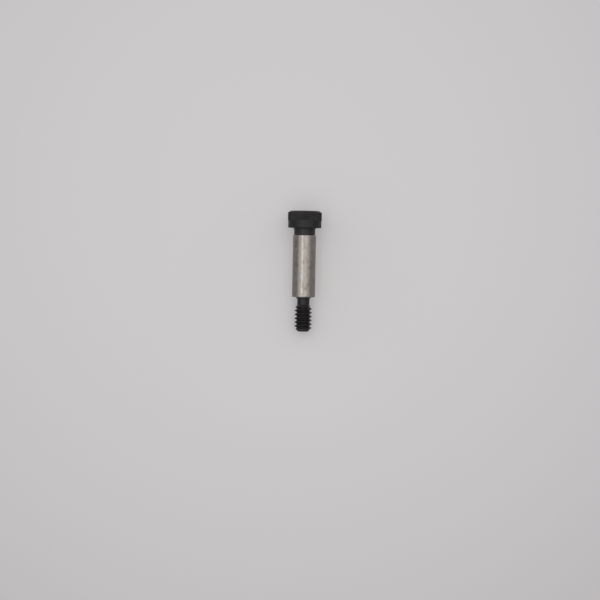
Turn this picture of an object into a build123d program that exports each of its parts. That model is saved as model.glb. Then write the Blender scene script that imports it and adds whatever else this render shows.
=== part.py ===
from build123d import *
from math import ceil, cos, pi, radians, tan
import os

# Shoulder bolt with a hexagon socket: a 1/4 in shoulder, 3/4 in long, and a No. 10-24 thread.
# It is one piece of steel, headed, turned and ground, with a rolled right-hand thread.
# The bolt stands on its head: Z = 0 is the head's top face, and +Z runs along the axis to the
# thread's end. All sizes are millimetres, and angles are degrees.

# ---- Head ---------------------------------------------------------------------------------
head_diameter = 9.35         # over the raised band that carries the knurl
head_height = 4.68           # top face to bearing face
head_edge_width = 0.8        # top chamfer, measured across the face
head_edge_height = 0.48      # top chamfer, measured along the axis
head_edge_round = 0.3        # where the chamfer meets the band
plain_band_diameter = 9.12   # below the knurl, next to the bearing face
plain_band_length = 2.0      # bearing face to the foot of the knurl
band_step_length = 0.15      # slope from the raised band down to the plain one
bearing_edge_round = 0.2

# ---- Hexagon socket -----------------------------------------------------------------------
socket_across_flats = 3.175  # 1/8 in key
socket_depth = 2.4           # flat walls, from the top face
socket_drill_angle = 118.0   # included angle of the coned bottom
socket_mouth_angle = 90.0    # included angle of the countersunk mouth
socket_mouth_margin = 0.08   # mouth radius beyond the hexagon's corners

# ---- Undercut below the head --------------------------------------------------------------
neck_diameter = 5.8
neck_length = 2.0            # bearing face to the start of the ground shoulder
neck_fillet = 0.5

# ---- Ground shoulder ----------------------------------------------------------------------
shoulder_diameter = 6.27
shoulder_length = 19.05      # bearing face to the shoulder's end face
shoulder_lead = 0.08         # small chamfer at the neck
shoulder_edge = 0.2          # chamfer at the end face

# ---- Relief and thread --------------------------------------------------------------------
thread_length = 9.5          # shoulder's end face to the bolt's end
relief_diameter = 3.35
relief_length = 2.15         # shoulder's end face to the foot of the thread
relief_fillet = 0.8
thread_diameter = 4.8
threads_per_inch = 24
thread_angle = 60.0          # included angle of the V
crest_share = 1 / 8          # crest flat, as a share of the pitch
root_share = 1 / 6           # root flat, as a share of the pitch
thread_start_angle = 198.0   # where the helix starts, round the axis from +X
run_out_angle = 35.0         # slope at the foot of the thread, from the axis
end_diameter = 2.7           # flat end, inside the chamfer
end_chamfer_angle = 45.0     # slope of the end chamfer

# ---- Heights and radii that follow from them ----------------------------------------------
bearing_z = head_height
shoulder_start_z = bearing_z + neck_length
shoulder_end_z = bearing_z + shoulder_length
thread_foot_z = shoulder_end_z + relief_length
bolt_end_z = shoulder_end_z + thread_length

head_radius = head_diameter / 2
plain_band_radius = plain_band_diameter / 2
neck_radius = neck_diameter / 2
shoulder_radius = shoulder_diameter / 2
relief_radius = relief_diameter / 2
thread_radius = thread_diameter / 2
end_radius = end_diameter / 2

pitch = 25.4 / threads_per_inch
crest_width = pitch * crest_share
root_width = pitch * root_share
flank_width = (pitch - crest_width - root_width) / 2
thread_depth = flank_width / tan(radians(thread_angle / 2))


def turned(profile):
    """A solid turned about Z. Each row of its half profile is a radius, a height and a rounding."""
    with BuildPart() as solid:
        with BuildSketch(Plane.XZ):
            with BuildLine():
                FilletPolyline(
                    *[(radius, height) for radius, height, rounding in profile],
                    radius=[rounding for radius, height, rounding in profile],
                    close=True,
                )
            make_face()
        revolve(axis=Axis.Z)
    return solid.part


def head_and_shoulder():
    """The bolt as it leaves the lathe and the grinder, down to the foot of the thread."""
    band_foot_z = bearing_z - plain_band_length
    return turned([
        (0, 0, 0),
        (head_radius - head_edge_width, 0, 0),
        (head_radius, head_edge_height, head_edge_round),
        (head_radius, band_foot_z - band_step_length, 0),
        (plain_band_radius, band_foot_z, 0),
        (plain_band_radius, bearing_z, bearing_edge_round),
        (neck_radius, bearing_z, neck_fillet),
        (neck_radius, shoulder_start_z, 0),
        (shoulder_radius - shoulder_lead, shoulder_start_z, 0),
        (shoulder_radius, shoulder_start_z + shoulder_lead, 0),
        (shoulder_radius, shoulder_end_z - shoulder_edge, 0),
        (shoulder_radius - shoulder_edge, shoulder_end_z, 0),
        (relief_radius, shoulder_end_z, relief_fillet),
        (relief_radius, thread_foot_z, 0),
        (0, thread_foot_z, 0),
    ])


def hexagon_socket():
    """What the key socket takes out: a hexagon, the drill's cone below it and a countersunk mouth."""
    flat_radius = socket_across_flats / 2
    corner_radius = flat_radius / cos(pi / 6)
    cone_depth = flat_radius / tan(radians(socket_drill_angle / 2))
    mouth_radius = corner_radius + socket_mouth_margin
    mouth_depth = mouth_radius / tan(radians(socket_mouth_angle / 2))
    hexagon = extrude(RegularPolygon(corner_radius, 6), socket_depth)
    drill_end = Pos(0, 0, socket_depth + cone_depth / 2) * Cone(flat_radius, 0, cone_depth)
    mouth = Pos(0, 0, mouth_depth / 2) * Cone(mouth_radius, 0, mouth_depth)
    return hexagon + drill_end + mouth


def one_turn(radius, height):
    """One turn of the thread's helix, starting above +X."""
    return Edge.make_helix(pitch, pitch, radius, center=(0, 0, height))


def threaded_rod(start_z, turns):
    """A rod with the thread all along it: crest, flank, root and flank, each ruled between helices.

    Each end is one spiral step, from the axis out to the crest, and lies outside the bolt.
    """
    root_radius = thread_radius - thread_depth
    outline = [
        (thread_radius, 0),
        (thread_radius, crest_width),
        (root_radius, crest_width + flank_width),
        (root_radius, crest_width + flank_width + root_width),
        (thread_radius, pitch),
    ]
    faces = []
    for turn in range(turns):
        z = start_z + turn * pitch
        for (lower_radius, lower), (upper_radius, upper) in zip(outline, outline[1:]):
            lower_edge = one_turn(lower_radius, z + lower)
            upper_edge = one_turn(upper_radius, z + upper)
            faces.append(Face.make_surface_from_curves(lower_edge, upper_edge))
    for z in (start_z, start_z + turns * pitch):
        foot, top = (0, 0, z), (0, 0, z + pitch)
        riser = [(radius, 0, z + height) for radius, height in outline]
        faces.append(Face(Wire.make_polygon([foot, *riser, top])))
        axis = Edge.make_line(foot, top)
        faces.append(Face.make_surface_from_curves(axis, one_turn(thread_radius, z)))
    return Rot(0, 0, thread_start_angle) * Solid(Shell(faces))


def thread():
    """The threaded end: the rod inside a turned form with the run-out and the end chamfer."""
    turning_radius = thread_radius + crest_width
    run_out = (turning_radius - relief_radius) / tan(radians(run_out_angle))
    end_chamfer = (turning_radius - end_radius) / tan(radians(end_chamfer_angle))
    turning = turned([
        (0, thread_foot_z, 0),
        (relief_radius, thread_foot_z, 0),
        (turning_radius, thread_foot_z + run_out, 0),
        (turning_radius, bolt_end_z - end_chamfer, 0),
        (end_radius, bolt_end_z, 0),
        (0, bolt_end_z, 0),
    ])
    spare_turns = 2
    turns = ceil((thread_length - relief_length) / pitch) + 2 * spare_turns
    return threaded_rod(thread_foot_z - spare_turns * pitch, turns) & turning


bolt = head_and_shoulder() - hexagon_socket() + thread()

os.makedirs("parts", exist_ok=True)
export_step(bolt, "parts/shoulder_bolt.step")
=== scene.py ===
# A shoulder bolt that stands on its head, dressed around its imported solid.
# Z = 0 is the head's top face, and +Z runs along the axis to the thread's end.

from math import atan2, cos, hypot, pi, radians, sin, tan

import bpy
from mathutils import Matrix, Vector


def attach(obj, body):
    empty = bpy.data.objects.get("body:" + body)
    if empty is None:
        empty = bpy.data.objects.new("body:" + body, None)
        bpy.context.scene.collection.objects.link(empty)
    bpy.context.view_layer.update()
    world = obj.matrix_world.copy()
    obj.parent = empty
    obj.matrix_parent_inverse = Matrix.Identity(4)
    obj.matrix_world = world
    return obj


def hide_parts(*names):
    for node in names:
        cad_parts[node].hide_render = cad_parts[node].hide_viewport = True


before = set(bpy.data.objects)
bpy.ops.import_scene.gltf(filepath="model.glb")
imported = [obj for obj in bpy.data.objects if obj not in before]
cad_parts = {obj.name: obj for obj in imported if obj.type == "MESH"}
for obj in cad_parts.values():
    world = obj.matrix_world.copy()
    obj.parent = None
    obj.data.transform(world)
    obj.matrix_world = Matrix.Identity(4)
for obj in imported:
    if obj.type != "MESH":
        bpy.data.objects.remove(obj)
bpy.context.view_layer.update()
scene = bpy.context.scene
scene.view_settings.view_transform = "Standard"
mm = 0.001


# ---- Hexagon socket -----------------------------------------------------------------------
# The key socket is punched into the head's top face: a hexagon for a 1/8 in key, with a
# countersunk mouth and the coned bottom that its pilot drill left. It opens the half profile
# from which the whole bolt, one piece of alloy steel, is turned.
socket_across_flats = 3.175 * mm
socket_depth = 2.4 * mm
socket_drill_angle = 118.0
socket_mouth_margin = 0.08 * mm
socket_flat_radius = socket_across_flats / 2
socket_mouth_radius = socket_flat_radius / cos(pi / 6) + socket_mouth_margin
socket_cone_depth = socket_flat_radius / tan(radians(socket_drill_angle / 2))
plain, hexagon_wall, hexagon_rim, knurled, threaded = range(5)
profile = []                 # (radius, height, feature) of each ring, to the thread's end


def add_rings(*rings, feature=plain):
    """Adds rings, each a radius and a height, to the half profile."""
    for radius, height in rings:
        profile.append((radius, height, feature))


add_rings((0, socket_depth + socket_cone_depth), (socket_flat_radius, socket_depth))
add_rings((socket_flat_radius, socket_depth), feature=hexagon_wall)
add_rings((socket_flat_radius, 0), feature=hexagon_rim)


# ---- Head ---------------------------------------------------------------------------------
# The head has a chamfered top, a raised band rolled with a diamond knurl for the fingers,
# and a plain band next to its bearing face.
head_radius = 9.35 / 2 * mm
head_height = 4.68 * mm
head_edge_width = 0.8 * mm
head_edge_height = 0.48 * mm
head_edge_blend = 0.1 * mm   # how softly the chamfer turns into the raised band
plain_share = 2 / 3          # of the chamfer; the knurl runs out on the rest of it
plain_band_radius = 9.12 / 2 * mm
plain_band_length = 2.0 * mm
band_step_length = 0.15 * mm
bearing_edge_round = 0.2 * mm
broken_edge = 0.05 * mm      # any other edge, as the tool leaves it
knurl_teeth = 60
knurl_depth = 0.17 * mm
knurl_lead = 0.86 * mm       # length of one diamond along the axis
knurl_rings = 8              # rings to each diamond
fillet_rings = 4             # steps in each rounded corner
edge_guard = 0.06 * mm       # rings this close to an edge keep the flat beside it flat
shortest_guarded = 4 * edge_guard        # a shorter flat does without them
knurl_ring = knurl_lead / knurl_rings
plain_height = head_edge_height * plain_share
band_foot = head_height - plain_band_length
knurl_start = plain_height + knurl_ring
knurl_end = band_foot - band_step_length


def add_corners(*corners):
    """Adds a plain stretch of the half profile, given as corners: radius, height and rounding.

    The first and last corners are its ends, and keep their place.
    """
    places = [Vector((radius, height)) for radius, height, rounding in corners]
    roundings = [rounding for radius, height, rounding in corners[1:-1]]
    runs = [places[0]]
    for before, place, after, rounding in zip(places, places[1:], places[2:], roundings):
        back = (before - place).normalized()
        ahead = (after - place).normalized()
        half_angle = back.angle(ahead) / 2
        setback = rounding / tan(half_angle)
        centre = place + (back + ahead).normalized() * (rounding / sin(half_angle))
        start = place + back * setback - centre
        sweep = start.angle_signed(place + ahead * setback - centre)
        for step in range(fillet_rings + 1):
            turn = Matrix.Rotation(-sweep * step / fillet_rings, 2)
            runs.append(centre + turn @ start)
    runs.append(places[-1])
    for start, end in zip(runs, runs[1:]):
        add_rings(start)
        if (end - start).length > shortest_guarded:
            guard = (end - start).normalized() * edge_guard
            add_rings(start + guard, end - guard)
    add_rings(runs[-1])


def head_edge_radius(height):
    """The head's outer radius at this height: the chamfer, its rounding and the raised band."""
    slope = head_edge_width / head_edge_height
    chamfer = head_radius - (head_edge_height - height) * slope
    overlap = chamfer - head_radius
    return head_radius + (overlap - hypot(overlap, head_edge_blend)) / 2


add_corners(
    (socket_mouth_radius, 0, 0),
    (head_radius - head_edge_width, 0, broken_edge),
    (head_radius - head_edge_width * (1 - plain_share), plain_height, 0),
)
ring_count = round((knurl_end - knurl_start) / knurl_ring)
for ring in range(ring_count + 1):
    height = knurl_start + (knurl_end - knurl_start) * ring / ring_count
    add_rings((head_edge_radius(height), height), feature=knurled)
step_radius = (head_radius + plain_band_radius) / 2
add_rings((step_radius, band_foot - band_step_length / 2), feature=knurled)


# ---- Neck, ground shoulder and relief -----------------------------------------------------
# Below the head an undercut lets the grinding wheel run out. The shoulder is the bearing
# surface: it is ground bright to size. A second undercut leads to the thread.
neck_radius = 5.8 / 2 * mm
neck_length = 2.0 * mm
neck_fillet = 0.5 * mm
shoulder_radius = 6.27 / 2 * mm
shoulder_length = 19.05 * mm             # from the bearing face, the neck included
shoulder_lead = 0.08 * mm
shoulder_edge = 0.2 * mm
ground_edge = 0.03 * mm      # rounding that the wheel leaves on the shoulder's edges
relief_radius = 3.35 / 2 * mm
relief_length = 2.15 * mm
relief_fillet = 0.8 * mm
shoulder_start = head_height + neck_length
shoulder_end = head_height + shoulder_length
thread_foot = shoulder_end + relief_length

add_corners(
    (plain_band_radius, band_foot, 0),
    (plain_band_radius, head_height, bearing_edge_round),
    (neck_radius, head_height, neck_fillet),
    (neck_radius, shoulder_start, broken_edge),
    (shoulder_radius - shoulder_lead, shoulder_start, ground_edge),
    (shoulder_radius, shoulder_start + shoulder_lead, ground_edge),
    (shoulder_radius, shoulder_end - shoulder_edge, ground_edge),
    (shoulder_radius - shoulder_edge, shoulder_end, ground_edge),
    (relief_radius, shoulder_end, relief_fillet),
    (relief_radius, thread_foot, 0),
)


# ---- Thread -------------------------------------------------------------------------------
# The No. 10-24 thread is rolled, right-hand, so its crests and roots are rounded. It runs
# out on a slope into the relief, and its far end has a 45 degree chamfer.
thread_radius = 4.8 / 2 * mm
thread_length = 9.5 * mm     # from the shoulder's end face, the relief included
threads_per_inch = 24
thread_angle = 60.0
crest_share = 1 / 8          # of the pitch
root_share = 1 / 6           # of the pitch
thread_rounding = 0.09       # share of the flank that each rounded edge takes up
thread_start_angle = 198.0
run_out_angle = 35.0
end_radius = 2.7 / 2 * mm
end_guard = 0.16 * mm        # a ring this far inside its edge keeps the end face flat
rings_per_pitch = 12
spare_turns = 1              # before the foot and past the end, for the climb of the helix
bolt_end = shoulder_end + thread_length
pitch = 25.4 * mm / threads_per_inch
crest_width = pitch * crest_share
root_width = pitch * root_share
flank_width = (pitch - crest_width - root_width) / 2
thread_depth = flank_width / tan(radians(thread_angle / 2))


def thread_form(share):
    """The thread's radius at this share of a pitch past the start of the crest's flat."""
    along = (share % 1) * pitch
    from_crest = abs(along - crest_width / 2)
    from_crest = min(from_crest, pitch - from_crest) - crest_width / 2
    fall = from_crest / flank_width
    above = (fall + hypot(fall, thread_rounding)) / 2
    clear = 1 - above
    return thread_radius - thread_depth * (1 - (clear + hypot(clear, thread_rounding)) / 2)


turns = round((bolt_end - thread_foot) / pitch) + 2 * spare_turns
for ring in range(turns * rings_per_pitch + 1):
    share = ring / rings_per_pitch
    height = thread_foot + (share - spare_turns) * pitch
    add_rings((thread_form(share), height), feature=threaded)
add_rings((end_radius, bolt_end), (end_radius - end_guard, bolt_end), (0, bolt_end))


# ---- Black oxide --------------------------------------------------------------------------
# The whole bolt is blackened and oiled before its shoulder is ground. The skin is thin, satin
# black, with a faint blue and brown cast. It is paler on the rubbed crests of the knurl. On the
# two undercuts it is paler partly as a paler turned skin and partly as painted sheen.
neck_skin_and_sheen = 0.30             # share by which the neck is paler, partly skin and partly painted sheen,
undercut_skin_and_sheen = 0.15         # and the neck and the relief together,
thread_painted_shade = 0.35           # and by which the thread is darkened with painted shade,
groove_painted_shade = 0.15           # and the knurl's grooves, with painted shade too
thread_shade_start = thread_foot - 0.9 * mm      # where the thread's painted shade sets in,
thread_shade_end = thread_foot + 0.1 * mm        # and where it is full
rubbed_colour = (0.034, 0.033, 0.034)            # added on the crests
oxide_roughness = (0.34, 0.48)
undercut_polish = 0.10       # taken off the roughness on the undercuts
knurl_roughness = 0.12       # added to it on the knurl
oxide_grain = 0.06           # size of the grain in the skin, in millimetres
oxide_grain_depth = 0.004 * mm


def feed(node, *ordered, **named):
    """Feeds a node's inputs, in order or by name, with plain values or what other nodes make.

    A name has _ for each space.
    """
    named = {name.replace("_", " "): value for name, value in named.items()}
    for key, value in [*enumerate(ordered), *named.items()]:
        if isinstance(value, Value):
            node.id_data.links.new(value.socket, node.inputs[key])
        else:
            node.inputs[key].default_value = value


def add_node(tree, kind, output, *ordered, **named):
    """Adds a node, feeds its inputs and gives the output with this name.

    A name in small letters is a property of the node, not an input.
    """
    node = tree.nodes.new(kind)
    properties = [name for name in named if name.islower()]
    for name in properties:
        setattr(node, name, named.pop(name))
    feed(node, *ordered, **named)
    return Value(node.outputs[output])


class Value:
    """What a node makes, so that a formula on it reads as a formula."""

    def __init__(self, socket):
        self.socket = socket
        self.tree = socket.id_data

    def apply(self, operation, *values):
        return add_node(self.tree, "ShaderNodeMath", "Value", *values, operation=operation)

    def apply_to_vector(self, operation, output, *others, **named):
        return add_node(
            self.tree, "ShaderNodeVectorMath", output, self, *others, operation=operation, **named
        )

    def __add__(self, other):
        return self.apply("ADD", self, other)

    def __sub__(self, other):
        return self.apply("SUBTRACT", self, other)

    def __rsub__(self, other):
        return self.apply("SUBTRACT", other, self)

    def __mul__(self, other):
        return self.apply("MULTIPLY", self, other)

    def __truediv__(self, other):
        return self.apply("DIVIDE", self, other)

    def __mod__(self, other):
        return self.apply("FLOORED_MODULO", self, other)

    def floor(self):
        return self.apply("FLOOR", self)

    def cosine(self):
        return self.apply("COSINE", self)

    def sine(self):
        return self.apply("SINE", self)

    def at_most(self, other):
        return self.apply("MINIMUM", self, other)

    def at_least(self, other):
        return self.apply("MAXIMUM", self, other)

    def to_and_fro(self, limit):
        return self.apply("PINGPONG", self, limit)

    def part(self, axis):
        """This vector's part along an axis."""
        return add_node(self.tree, "ShaderNodeSeparateXYZ", axis, self)

    def times_and_plus(self, factor, other):
        """This vector times another, part by part, and a third added to that."""
        return self.apply_to_vector("MULTIPLY_ADD", "Vector", factor, other)

    def shaded(self, factor):
        """This colour, made lighter or darker by a factor."""
        return self.apply_to_vector("SCALE", "Vector", Scale=factor)

    def from_point(self, point):
        """How far this place is from a point."""
        return self.apply_to_vector("DISTANCE", "Value", point)

    def spread(self, low, high, start=0.3, end=0.7, shape="LINEAR"):
        """Low to high as this value goes from start to end. Most of a noise is in 0.3 to 0.7."""
        return add_node(
            self.tree, "ShaderNodeMapRange", "Result", interpolation_type=shape,
            Value=self, From_Min=start, From_Max=end, To_Min=low, To_Max=high,
        )


def new_material(name):
    """A node material, its tree and its shader."""
    material = bpy.data.materials.new(name)
    material.use_nodes = True
    return material, material.node_tree, material.node_tree.nodes["Principled BSDF"]


def object_place(tree):
    """The place on the piece."""
    return add_node(tree, "ShaderNodeTexCoord", "Object")


def mottle(tree, around, along, detail=2.0, output="Fac"):
    """Cloudy noise with this size of patch round and along the axis, in millimetres."""
    patches = add_node(
        tree, "ShaderNodeMapping", "Vector", Vector=object_place(tree),
        Scale=(1 / (around * mm), 1 / (around * mm), 1 / (along * mm)),
    )
    return add_node(tree, "ShaderNodeTexNoise", output, Vector=patches, Scale=1.0, Detail=detail)


def ramp(value, *stops):
    """Turns a value into a colour by stops, each a place and a colour."""
    node = value.tree.nodes.new("ShaderNodeValToRGB")
    feed(node, value)
    elements = node.color_ramp.elements
    while len(elements) < len(stops):
        elements.new(0.5)
    for element, (place, colour) in zip(elements, stops):
        element.position = place
        element.color = (*colour, 1)
    return Value(node.outputs["Color"])


black_oxide, tree, shader = new_material("black oxide")
cast = ramp(
    mottle(tree, 0.8, 0.8, 3.0),
    (0.30, (0.0075, 0.0080, 0.0100)),
    (0.42, (0.0115, 0.0120, 0.0140)),
    (0.50, (0.0125, 0.0130, 0.0128)),
    (0.58, (0.0155, 0.0142, 0.0132)),
    (0.70, (0.0230, 0.0210, 0.0195)),
)
height_on_bolt = object_place(tree).part("Z")
past_head = height_on_bolt.spread(0, 1, head_height, head_height + neck_fillet)
before_relief = height_on_bolt.spread(1, 0, shoulder_start, shoulder_end)
before_thread = height_on_bolt.spread(1, 0, thread_shade_start, thread_shade_end)
on_neck = past_head * before_relief
on_undercuts = past_head * before_thread
on_thread = 1 - before_thread
on_knurl = height_on_bolt.spread(1, 0, knurl_end, band_foot)
crest = add_node(tree, "ShaderNodeAttribute", "Fac", attribute_name="worn_crest")
in_grooves = on_knurl * (1 - crest)
# The undercuts are paler partly as a paler turned skin and partly as painted sheen.
paler_skin_and_sheen = on_neck * neck_skin_and_sheen + on_undercuts * undercut_skin_and_sheen
# Painted shade darkens the thread and the knurl's grooves; the undercuts' lift is skin and
# painted sheen.
skin_sheen_and_shade = paler_skin_and_sheen + 1 - on_thread * thread_painted_shade - in_grooves * groove_painted_shade
rubbed = crest * crest * crest * mottle(tree, 0.9, 0.9).spread(0, 1)
satin = mottle(tree, 0.5, 0.35).spread(*oxide_roughness)
grain = add_node(
    tree, "ShaderNodeBump", "Normal", Strength=0.35, Distance=oxide_grain_depth,
    Height=mottle(tree, oxide_grain, oxide_grain, 3.0),
)
feed(
    shader,
    Base_Color=rubbed.times_and_plus(rubbed_colour, cast.shaded(skin_sheen_and_shade)),
    Roughness=satin - on_undercuts * undercut_polish + on_knurl * knurl_roughness,
    Normal=grain,
    Specular_IOR_Level=0.28,
    Coat_Weight=0.04,
    Coat_Roughness=0.2,
)


# ---- Ground steel -------------------------------------------------------------------------
# The shoulder is ground on centres, so its fine lines run round it and draw the light out
# along the axis. Handling has left faint brown and grey stains and a few darker marks.
line_length = 4.0            # of the grinding lines, in millimetres,
line_width = 0.05            # and their width along the axis
line_depth = 0.001 * mm
line_shades = (0.94, 1.04)   # darkest and lightest, as shares of the stain's colour
film_shades = (0.91, 1.07)
speck_shades = (0.80, 1.0)
speck_rarity = (0.25, 0.33)  # the low end of the noise, where the few specks are
steel_roughness = (0.29, 0.36)
mark_core = 0.3              # share of a mark's radius in which it is fully dark
mark_waver = 0.9 * mm        # full swing of the noise that bends a mark's outline
# Darker marks: turn from -Y towards +X, height above the shoulder's foot, radius and darkness.
handling_marks = (
    (45, 2.0 * mm, 1.0 * mm, 0.24),
    (49, 3.1 * mm, 0.6 * mm, 0.40),
    (-8, 3.5 * mm, 0.6 * mm, 0.22),
    (-10, 6.4 * mm, 0.6 * mm, 0.20),
    (41, 8.1 * mm, 0.9 * mm, 0.20),
    (-32, 8.9 * mm, 0.7 * mm, 0.26),
    (-29, 12.1 * mm, 0.6 * mm, 0.18),
    (-26, 13.6 * mm, 0.9 * mm, 0.22),
    (-10, 14.6 * mm, 0.6 * mm, 0.28),
    (6, 13.9 * mm, 0.6 * mm, 0.16),
    (54, 10.8 * mm, 0.7 * mm, 0.20),
    (160, 5.2 * mm, 0.9 * mm, 0.24),
    (236, 11.5 * mm, 0.7 * mm, 0.28),
)

ground_steel, tree, shader = new_material("ground steel")
stain = ramp(
    mottle(tree, 0.9, 1.3, 4.0),
    (0.30, (0.320, 0.278, 0.228)),
    (0.42, (0.380, 0.347, 0.314)),
    (0.56, (0.402, 0.372, 0.344)),
    (0.72, (0.440, 0.416, 0.404)),
)
line_shade = mottle(tree, line_length, line_width, 3.0).spread(*line_shades)
speck_shade = mottle(tree, 0.30, 0.30).spread(*speck_shades, *speck_rarity)
film_shade = mottle(tree, 0.55, 0.8, 3.0).spread(*film_shades)
waver = Vector((mark_waver, mark_waver, mark_waver))
wavering = mottle(tree, 0.45, 0.6, output="Color").times_and_plus(waver, object_place(tree))
for turn, height, radius, darkness in handling_marks:
    middle = waver / 2 + Vector((
        shoulder_radius * sin(radians(turn)),
        -shoulder_radius * cos(radians(turn)),
        shoulder_start + height,
    ))
    distance = wavering.from_point(middle)
    film_shade = film_shade * distance.spread(1 - darkness, 1, radius * mark_core, radius)
grinding_lines = add_node(
    tree, "ShaderNodeBump", "Normal", Strength=0.2, Distance=line_depth,
    Height=mottle(tree, line_length, line_width, 3.0),
)
round_axis = add_node(tree, "ShaderNodeTangent", "Tangent", direction_type="RADIAL", axis="Z")
feed(
    shader,
    Base_Color=stain.shaded(line_shade * speck_shade * film_shade),
    Roughness=mottle(tree, 2.5, 0.12, 3.0).spread(*steel_roughness),
    Normal=grinding_lines,
    Tangent=round_axis,
    Metallic=1.0,
    Anisotropic=0.5,
    Anisotropic_Rotation=0.25,
)


# ---- Turning ------------------------------------------------------------------------------
# The tree turns the half profile into the bolt. It shapes the rings of the socket into a
# hexagon, presses the knurl, winds the thread round the axis and closes the seam.
steps_per_tooth = 8          # steps of the turned mesh to each tooth of the knurl
index_guard = 0.0005         # keeps a rounding error from moving a point to the ring before
knurl_blunting = 1.3         # more than 1, so that the diamonds have flat tops
seam_width = 0.001 * mm      # points closer than this are one
crease_angle = radians(50)   # edges sharper than this stay crisp
oxide_margin = 0.01 * mm     # bare steel starts this far inside the shoulder's black end faces

turning = bpy.data.node_groups.new("turned bolt", "GeometryNodeTree")
sizes = {
    "Knurl radius": head_radius,
    "Knurl depth": knurl_depth,
    "Knurl teeth": knurl_teeth,
    "Knurl lead": knurl_lead,
    "Socket flat radius": socket_flat_radius,
    "Socket mouth radius": socket_mouth_radius,
    "Thread pitch": pitch,
    "Thread start angle": radians(thread_start_angle),
    "Thread foot": thread_foot,
    "Relief radius": relief_radius,
    "Run-out slope": tan(radians(run_out_angle)),
    "Bolt end": bolt_end,
    "End radius": end_radius,
    "Shoulder start": shoulder_start,
    "Shoulder end": shoulder_end,
    "Steps around": knurl_teeth * steps_per_tooth,
    "Ring count": len(profile),
}
finishes = {"Oxide": black_oxide, "Bare steel": ground_steel}
interface = turning.interface
interface.new_socket("Half profile", in_out="INPUT", socket_type="NodeSocketGeometry")
for name, size in sizes.items():
    kind = "NodeSocketInt" if isinstance(size, int) else "NodeSocketFloat"
    interface.new_socket(name, in_out="INPUT", socket_type=kind)
for name in finishes:
    interface.new_socket(name, in_out="INPUT", socket_type="NodeSocketMaterial")
interface.new_socket("Bolt", in_out="OUTPUT", socket_type="NodeSocketGeometry")
inputs = {item.name: item.identifier for item in interface.items_tree if item.in_out == "INPUT"}
entry = turning.nodes.new("NodeGroupInput")
given = {name: Value(entry.outputs[name]) for name in inputs}

columns = given["Steps around"] + 1
grid = add_node(
    turning, "GeometryNodeMeshGrid", "Mesh", Vertices_X=given["Ring count"], Vertices_Y=columns
)
index = add_node(turning, "GeometryNodeInputIndex", "Index")
ring_number = (index / columns + index_guard).floor()
angle = (index - ring_number * columns) * (2 * pi) / given["Steps around"]


def from_profile(kind, field):
    """A value of the half profile, for the ring that a point is on."""
    return add_node(
        turning, "GeometryNodeSampleIndex", "Value", data_type=kind,
        Geometry=given["Half profile"], Value=field, Index=ring_number,
    )


position = add_node(turning, "GeometryNodeInputPosition", "Position")
ring_place = from_profile("FLOAT_VECTOR", position)
ring_radius = ring_place.part("X")
ring_height = ring_place.part("Z")
feature = from_profile(
    "FLOAT", add_node(turning, "GeometryNodeInputNamedAttribute", "Attribute", Name="feature")
)


def compare(operation, first, second, **named):
    """Whether the first number is equal to the second, or more or less than it."""
    return add_node(
        turning, "FunctionNodeCompare", "Result", first, second,
        data_type="FLOAT", operation=operation, **named,
    )


def on_rings(kind, value, otherwise):
    """One value on the rings of this feature, and the other one elsewhere."""
    same = compare("EQUAL", feature, kind, Epsilon=0.5)
    return add_node(
        turning, "GeometryNodeSwitch", "Output", same, otherwise, value, input_type="FLOAT"
    )


# The hexagon's corners lie on the X axis. Its rim is where the flats meet the mouth's cone.
hexagon_angle = angle % (pi / 3) - pi / 6
hexagon_radius = given["Socket flat radius"] / hexagon_angle.cosine()
rim_height = given["Socket mouth radius"] - hexagon_radius

# The knurl's two sets of grooves cross, and leave blunt diamonds between them.
turn_share = angle * given["Knurl teeth"] / (2 * pi)
lead_share = ring_height / given["Knurl lead"]
left_groove = (turn_share + lead_share).to_and_fro(0.5) * 2
right_groove = (turn_share - lead_share).to_and_fro(0.5) * 2
diamond = (left_groove.at_most(right_groove) * knurl_blunting).at_most(1.0)
knurl_surface = given["Knurl radius"] - (1 - diamond) * given["Knurl depth"]
knurl_radius = ring_radius.at_most(knurl_surface)

# The thread's rings climb one pitch a turn, and stop at its foot and at the bolt's end.
climb = (angle - given["Thread start angle"]) * given["Thread pitch"] / (2 * pi)
wound_height = (ring_height + climb).at_least(given["Thread foot"]).at_most(given["Bolt end"])
run_out = given["Relief radius"] + (wound_height - given["Thread foot"]) * given["Run-out slope"]
end_chamfer = given["End radius"] + given["Bolt end"] - wound_height
wound_radius = ring_radius.at_most(run_out).at_most(end_chamfer)

radius = on_rings(threaded, wound_radius, ring_radius)
radius = on_rings(knurled, knurl_radius, radius)
radius = on_rings(hexagon_wall, hexagon_radius, radius)
radius = on_rings(hexagon_rim, hexagon_radius, radius)
height = on_rings(threaded, wound_height, ring_height)
height = on_rings(hexagon_rim, rim_height, height)
place = add_node(
    turning, "ShaderNodeCombineXYZ", "Vector",
    angle.cosine() * radius, angle.sine() * radius, height,
)
shaped = add_node(turning, "GeometryNodeSetPosition", "Geometry", Geometry=grid, Position=place)
marked = add_node(
    turning, "GeometryNodeStoreNamedAttribute", "Geometry",
    Geometry=shaped, Name="worn_crest", Value=on_rings(knurled, diamond, 0),
)
closed = add_node(
    turning, "GeometryNodeMergeByDistance", "Geometry", Geometry=marked, Distance=seam_width
)
smooth = add_node(turning, "GeometryNodeSetShadeSmooth", "Geometry", Geometry=closed)
edge_angle = add_node(turning, "GeometryNodeInputMeshEdgeAngle", "Unsigned Angle")
creased = add_node(
    turning, "GeometryNodeSetShadeSmooth", "Geometry", domain="EDGE", Geometry=smooth,
    Selection=compare("GREATER_THAN", edge_angle, crease_angle), Shade_Smooth=False,
)
single = add_node(turning, "GeometryNodeRealizeInstances", "Geometry", Geometry=creased)
blackened = add_node(
    turning, "GeometryNodeSetMaterial", "Geometry", Geometry=single, Material=given["Oxide"]
)
face_height = position.part("Z")
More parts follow.
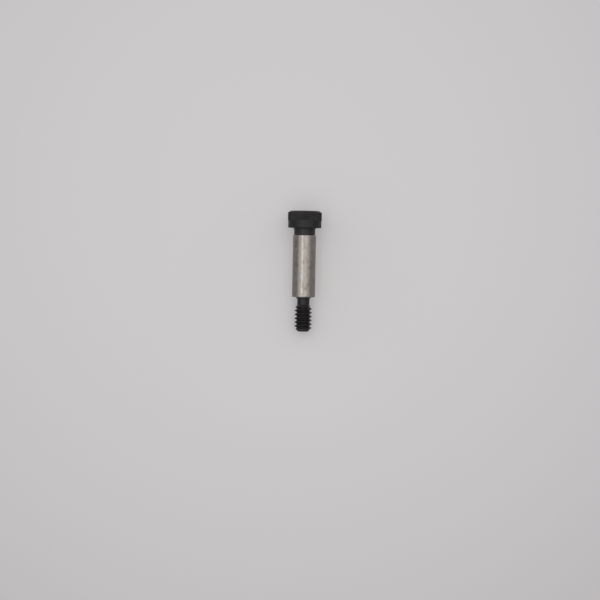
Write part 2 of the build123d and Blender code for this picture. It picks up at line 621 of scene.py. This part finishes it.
on_shoulder = add_node(
    turning, "FunctionNodeBooleanMath", "Boolean",
    compare("GREATER_THAN", face_height, given["Shoulder start"] + oxide_margin),
    compare("LESS_THAN", face_height, given["Shoulder end"] - oxide_margin),
    operation="AND",
)
ground = add_node(
    turning, "GeometryNodeSetMaterial", "Geometry",
    Geometry=blackened, Selection=on_shoulder, Material=given["Bare steel"],
)
feed(turning.nodes.new("NodeGroupOutput"), Bolt=ground)

half_profile = bpy.data.meshes.new("half profile")
half_profile.from_pydata([(radius, 0, height) for radius, height, kind in profile], [], [])
feature_of_ring = half_profile.attributes.new("feature", "FLOAT", "POINT")
feature_of_ring.data.foreach_set("value", [float(kind) for radius, height, kind in profile])
bolt = bpy.data.objects.new("blackened_bolt", half_profile)
scene.collection.objects.link(bolt)
modifier = bolt.modifiers.new("Turning", "NODES")
modifier.node_group = turning
for name, value in {**sizes, **finishes}.items():
    modifier[inputs[name]] = value
evaluated = bolt.evaluated_get(bpy.context.evaluated_depsgraph_get())
turned_mesh = bpy.data.meshes.new_from_object(evaluated)
bolt.modifiers.clear()
bolt.data = turned_mesh
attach(bolt, "root")
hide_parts("shoulder_bolt")


# ---- Stage --------------------------------------------------------------------------------
# The bolt stands on a pale floor. Behind it a pale sheet leans on its head and on the
# shoulder's end. Both show from their front only, and fade into the pale surroundings.
rim_corners = 96
faded_share = 0.98           # share of a sheet's radius at which it has faded away
contact_gap = 0.02 * mm      # keeps floor and sheet from sharing a face with the bolt
floor_tilt = radians(1.4)
sheet_turn = radians(5)
sheet_rise = 20 * mm         # from the head's edge up to the sheet's middle


def stage_sheet(name, place, radius, solid_share, colour, glow):
    """A round matt sheet, seen from its front only, that fades out towards its rim.

    Its glow stands for the light that the pale room throws back on it.
    """
    material = bpy.data.materials.new(name)
    material.use_nodes = True
    tree = material.node_tree
    tree.nodes.clear()
    lit = add_node(tree, "ShaderNodeBsdfDiffuse", "BSDF", Color=(*colour, 1))
    glowing = add_node(tree, "ShaderNodeEmission", "Emission", Color=(*glow, 1), Strength=1.0)
    matt = add_node(tree, "ShaderNodeAddShader", "Shader", lit, glowing)
    clear = add_node(tree, "ShaderNodeBsdfTransparent", "BSDF")
    inverse = place.inverted()
    on_sheet = add_node(
        tree, "ShaderNodeMapping", "Vector", vector_type="POINT",
        Vector=object_place(tree), Location=inverse.translation, Rotation=inverse.to_euler(),
    )
    solid = on_sheet.from_point((0, 0, 0)).spread(
        1, 0, radius * solid_share, radius * faded_share, "SMOOTHSTEP"
    )
    back = add_node(tree, "ShaderNodeNewGeometry", "Backfacing")
    shown = add_node(tree, "ShaderNodeMixShader", "Shader", solid * (1 - back), clear, matt)
    feed(tree.nodes.new("ShaderNodeOutputMaterial"), Surface=shown)
    turns = [2 * pi * corner / rim_corners for corner in range(rim_corners)]
    rim = [place @ Vector((radius * cos(turn), radius * sin(turn), 0)) for turn in turns]
    mesh = bpy.data.meshes.new(name)
    mesh.from_pydata(rim, [], [range(rim_corners)])
    mesh.materials.append(material)
    sheet = bpy.data.objects.new(name, mesh)
    scene.collection.objects.link(sheet)
    # It takes the bolt's shadow, but neither shades the bolt nor shows in it.
    sheet.visible_diffuse = False
    sheet.visible_glossy = False
    sheet.visible_transmission = False
    sheet.visible_shadow = False


# The camera is almost level with the floor, and edge-on it would draw a line across the
# picture. So the floor rises by a hair towards -Y, which turns its unseen back to the camera.
floor_place = Matrix.Translation((0, 0, -contact_gap)) @ Matrix.Rotation(-floor_tilt, 4, "X")
stage_sheet(
    "pale_floor", floor_place, radius=90 * mm, solid_share=0.35,
    colour=(0.55, 0.54, 0.545), glow=(0.3255, 0.3205, 0.3210),
)

head_touch = Vector((plain_band_radius, head_height - bearing_edge_round))
end_touch = Vector((shoulder_radius, shoulder_end - shoulder_edge))
sheet_lean = atan2(head_touch.x - end_touch.x, end_touch.y - head_touch.y)
sheet_place = (
    Matrix.Rotation(-sheet_turn, 4, "Z")
    @ Matrix.Translation((0, head_touch.x, head_touch.y))
    @ Matrix.Rotation(pi / 2 + sheet_lean, 4, "X")
    @ Matrix.Translation((0, sheet_rise, -contact_gap))
)
stage_sheet(
    "pale_sheet", sheet_place, radius=44 * mm, solid_share=0.45,
    colour=(0.385, 0.380, 0.382), glow=(0.232, 0.225, 0.227),
)


# ---- Light --------------------------------------------------------------------------------
# The bolt faces a wide soft window. Narrow lights beside it draw the bright lines down the
# shoulder. A faint cool light fills in, one hangs above, and two stand low behind.
window_front = 0.985         # the window lies towards -Y,
window_below = 0.17          # and a little towards -Z,
window_skew = 0.05           # and ends a little sooner towards -X
window_edge = 0.2            # it starts where a direction faces it by this much,
window_middle = 0.97         # and is at its full strength by this much
window_strength = 0.67
ceiling_level = 0.15         # light from straight above and below,
back_level = 0.06            # from behind,
floor_level = 0.3            # from below, but not from right under the bolt,
wall_level = 0.262           # and from all round, but not from right behind
pale = (0.6097, 0.5919, 0.6003)          # what the camera sees of the room
palest = (0.012, 1.0, -0.03)             # the direction in which it is at its palest
falloff_slope = 2.74            # how fast it darkens with the square of the distance from there,
falloff_curve = 8.1             # and with the square of that,
falloff_limit = 0.07            # as far as the first square reaches this


def soft_light(name, turn, rise, distance, width, length, radiance, colour=(1, 1, 1)):
    """A soft light that faces the bolt: turn goes round the axis from -Y towards +X."""
    target = Vector((0, 0, (shoulder_start + shoulder_end) / 2))
    away = Vector((
        sin(radians(turn)) * cos(radians(rise)),
        -cos(radians(turn)) * cos(radians(rise)),
        sin(radians(rise)),
    ))
    lamp = bpy.data.lights.new(name, "AREA")
    lamp.shape = "RECTANGLE"
    lamp.size = width
    lamp.size_y = length
    lamp.energy = radiance * pi * width * length
    lamp.color = colour
    light = bpy.data.objects.new(name, lamp)
    light.location = target + away * distance
    light.rotation_euler = away.to_track_quat("Z", "Y").to_euler()
    light.visible_camera = False
    scene.collection.objects.link(light)


# Each light's turn, rise, distance, width, length and radiance.
soft_light("line", 19, 0, 190 * mm, 12 * mm, 300 * mm, 3.6)
soft_light("second_line", -16, 0, 190 * mm, 24 * mm, 300 * mm, 0.6)
soft_light("fill", 46, 0, 200 * mm, 100 * mm, 300 * mm, 0.14, (0.80, 1.0, 1.2))
soft_light("top", 30, 75, 250 * mm, 180 * mm, 180 * mm, 0.6)
soft_light("back_left", 140, -25, 250 * mm, 50 * mm, 130 * mm, 1.2)
soft_light("back_right", 214, -25, 250 * mm, 50 * mm, 130 * mm, 1.2)

world = bpy.data.worlds.new("surroundings")
scene.world = world
world.use_nodes = True
tree = world.node_tree
tree.nodes.clear()
direction = add_node(tree, "ShaderNodeTexCoord", "Generated")
across = direction.part("X")
ahead = direction.part("Y")
upward = direction.part("Z")
facing = ahead * -window_front - upward * window_below + across.at_most(0) * window_skew
window = add_node(
    tree, "ShaderNodeBackground", "Background", Color=(1, 1, 0.985, 1),
    Strength=facing.spread(0, window_strength, window_edge, window_middle, "SMOOTHSTEP"),
)
ceiling = upward * upward * ceiling_level
back = ahead.at_least(0) * back_level
below = upward.spread(floor_level, 0, start=-0.5, end=0.1)
beside = upward.spread(0, 1, start=-0.95, end=-0.7)
walls = ahead.spread(1, 0, start=0.75, end=0.95) * wall_level
surroundings = add_node(
    tree, "ShaderNodeBackground", "Background", Color=(1.04, 0.985, 1.01, 1),
    Strength=ceiling + back + below * beside + walls,
)
room = add_node(tree, "ShaderNodeAddShader", "Shader", window, surroundings)

# Painted shade: what the camera sees of the room darkens a little way round +Y, away from its
# palest direction. Further round it is plain and pale again.
aside = direction.from_point(palest)
square = (aside * aside).at_most(falloff_limit)
painted_falloff = square * (square * falloff_curve + falloff_slope) * aside.spread(1, 0, start=0.3, end=0.6)
seen = add_node(
    tree, "ShaderNodeBackground", "Background", Color=(*pale, 1), Strength=1 - painted_falloff
)
to_camera = add_node(tree, "ShaderNodeLightPath", "Is Camera Ray")
either = add_node(tree, "ShaderNodeMixShader", "Shader", to_camera, room, seen)
feed(tree.nodes.new("ShaderNodeOutputWorld"), Surface=either)


# ---- Camera -------------------------------------------------------------------------------
# The camera stands well back and looks along +Y, up by a hair, almost square to the leaning
# sheet. It is held upside down, so that the head is at the top of the picture.
view_distance = 600 * mm
view_width = 165.4 * mm
view_lean = radians(1.2)
roll = radians(1.04)
target = Vector((0.94 * mm, 0, 24.564 * mm))
look = Vector((0, cos(view_lean), sin(view_lean)))
down = Vector((0, -sin(view_lean), cos(view_lean)))
left = Vector((1, 0, 0))
picture_up = -down * cos(roll) + left * sin(roll)
picture_right = look.cross(picture_up)
camera_data = bpy.data.cameras.new("camera")
camera_data.lens = camera_data.sensor_width * view_distance / view_width
camera = bpy.data.objects.new("camera", camera_data)
axes = Matrix((picture_right, picture_up, -look)).transposed()
camera.matrix_world = Matrix.Translation(target - look * view_distance) @ axes.to_4x4()
scene.collection.objects.link(camera)
scene.camera = camera
